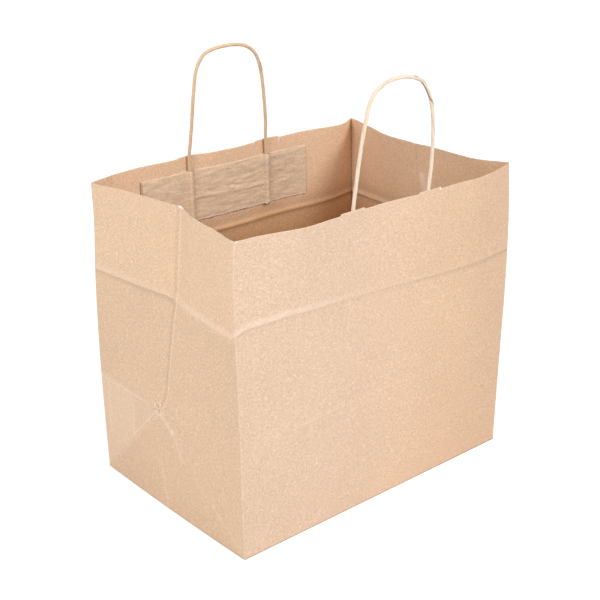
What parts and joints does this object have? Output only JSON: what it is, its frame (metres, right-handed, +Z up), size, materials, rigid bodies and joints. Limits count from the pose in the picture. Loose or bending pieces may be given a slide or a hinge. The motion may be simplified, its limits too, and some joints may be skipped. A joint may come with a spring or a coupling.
{
  "type": "paper carrier bag",
  "caption": "Gusseted kraft paper carrier bag standing open on its folded block bottom, with twisted paper cord handles glued inside the rim.",
  "frame": {"origin": "centre of the folded bottom, on the surface that the bag stands on", "axes": "+Z up out of the open mouth, X along the wide walls, the front wall on the -Y side"},
  "size_m": [0.319, 0.2256, 0.3855],
  "materials": {
    "kraft_paper": "matte",
    "patch_paper": "matte",
    "twisted_paper": "matte"
  },
  "bodies": {
    "root": {"bag_body": "kraft_paper", "front_patch_backing": "patch_paper", "front_handle_cord": "twisted_paper", "front_patch_cover": "patch_paper", "rear_patch_backing": "patch_paper", "rear_handle_cord": "twisted_paper", "rear_patch_cover": "patch_paper"}
  },
  "joints": []
}
